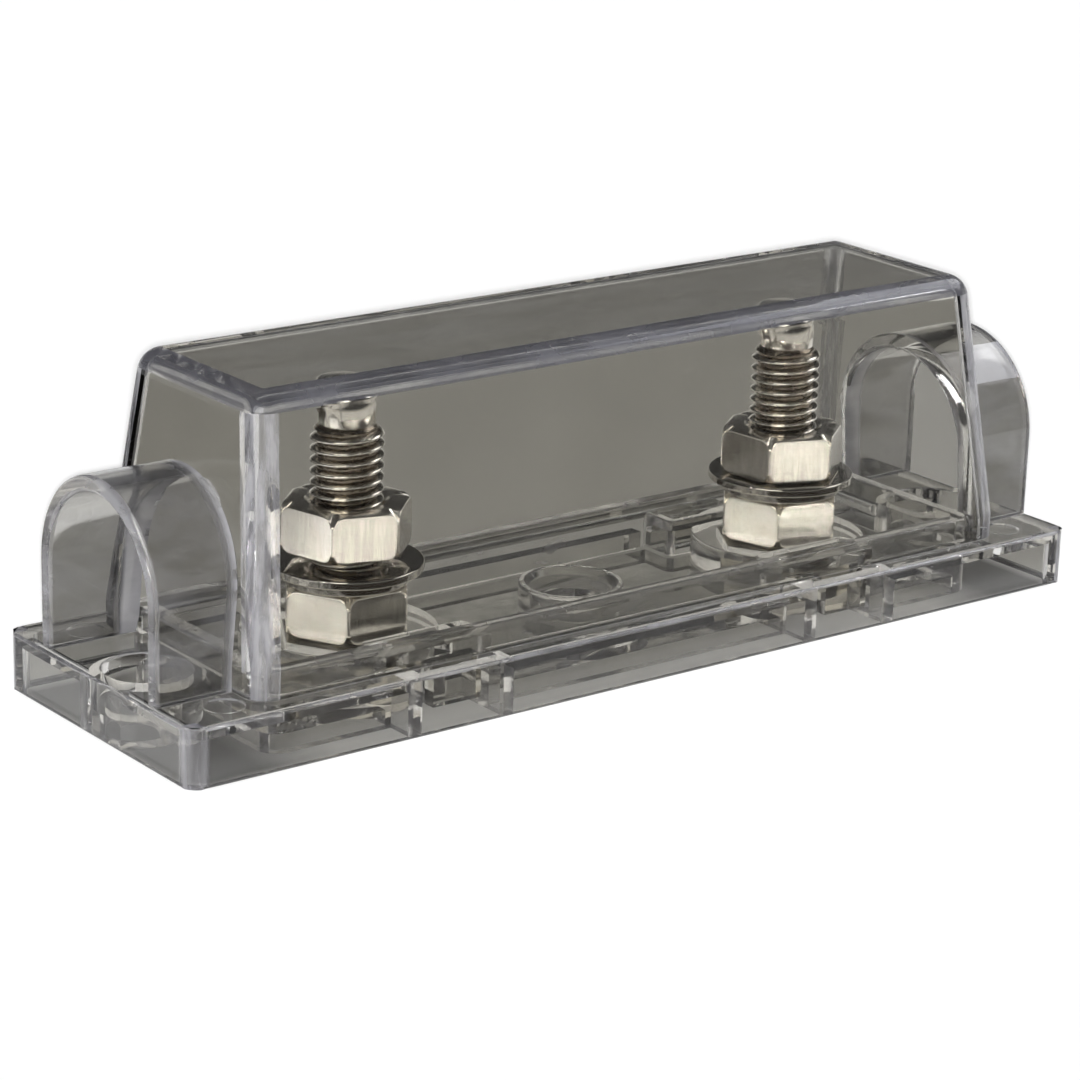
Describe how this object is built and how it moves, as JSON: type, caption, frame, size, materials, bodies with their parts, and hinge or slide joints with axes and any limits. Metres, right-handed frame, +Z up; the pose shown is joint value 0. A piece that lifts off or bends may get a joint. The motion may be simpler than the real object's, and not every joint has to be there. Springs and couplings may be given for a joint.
{
  "type": "anl fuse holder",
  "caption": "Clear moulded fuse holder: a screw-down base with threaded stud terminals, nuts and washers under a lift-off cover with an arched cable way at each end.",
  "frame": {"origin": "middle of the base's underside, on the surface it is screwed to", "axes": "+X along the holder from the left stud to the right stud, +Y towards the back, +Z up out of the mounting surface"},
  "size_m": [0.124, 0.0374, 0.038],
  "materials": {
    "base_plastic": "clear, faintly smoky, glossy",
    "cover_plastic": "clear, faintly smoky, glossy",
    "stud_metal": "nickel plated, bright",
    "nut_metal": "nickel plated, bright",
    "washer_metal": "nickel plated, bright"
  },
  "bodies": {
    "base_body": {"base": "base_plastic", "left_stud": "stud_metal", "right_stud": "stud_metal", "left_base_nut": "nut_metal", "right_base_nut": "nut_metal", "left_lock_washer": "washer_metal", "right_lock_washer": "washer_metal", "left_flat_washer": "washer_metal", "right_flat_washer": "washer_metal"},
    "cover_body": {"cover": "cover_plastic"},
    "left_nut_body": {"left_top_nut": "nut_metal"},
    "right_nut_body": {"right_top_nut": "nut_metal"}
  },
  "joints": [
    {"name": "cover_lift", "type": "slide", "parent": "base_body", "child": "cover_body", "axis": [0, 0, 1], "range_m": [0, 0.045]},
    {"name": "left_nut_run", "type": "slide", "parent": "base_body", "child": "left_nut_body", "axis": [0, 0, 1], "range_m": [-0.0012, 0.0135]},
    {"name": "right_nut_run", "type": "slide", "parent": "base_body", "child": "right_nut_body", "axis": [0, 0, 1], "range_m": [0, 0.0147]}
  ]
}
